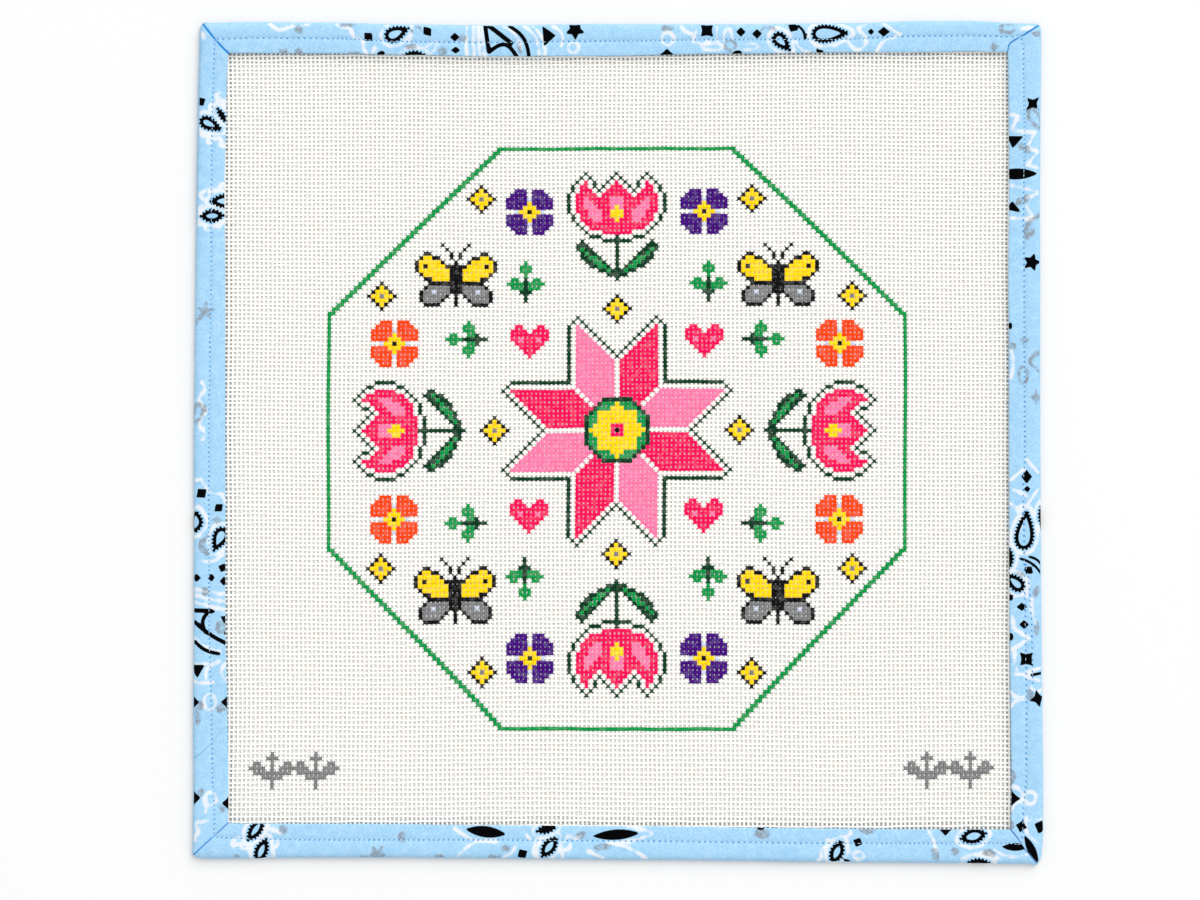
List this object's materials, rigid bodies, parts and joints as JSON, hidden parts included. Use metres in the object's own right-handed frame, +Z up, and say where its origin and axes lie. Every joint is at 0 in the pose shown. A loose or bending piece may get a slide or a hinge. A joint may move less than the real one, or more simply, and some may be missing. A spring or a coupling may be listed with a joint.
{
  "type": "bound needlepoint canvas panel",
  "caption": "Square sheet of stiff open-weave needlepoint canvas with a painted design, its edge wrapped in printed bias binding with mitred corners, lying flat.",
  "frame": {"origin": "middle of the panel, on the surface that it lies on", "axes": "+Z up from the painted face, +Y towards the top of the design, +X to its right"},
  "size_m": [0.381, 0.3776, 0.0044],
  "materials": {
    "canvas": "stiffened matt white cotton threads, painted in bright matt colours",
    "binding": "matt pale blue cotton printed in black, white and grey"
  },
  "bodies": {
    "root": {"canvas": "canvas", "binding": "binding"}
  },
  "joints": []
}
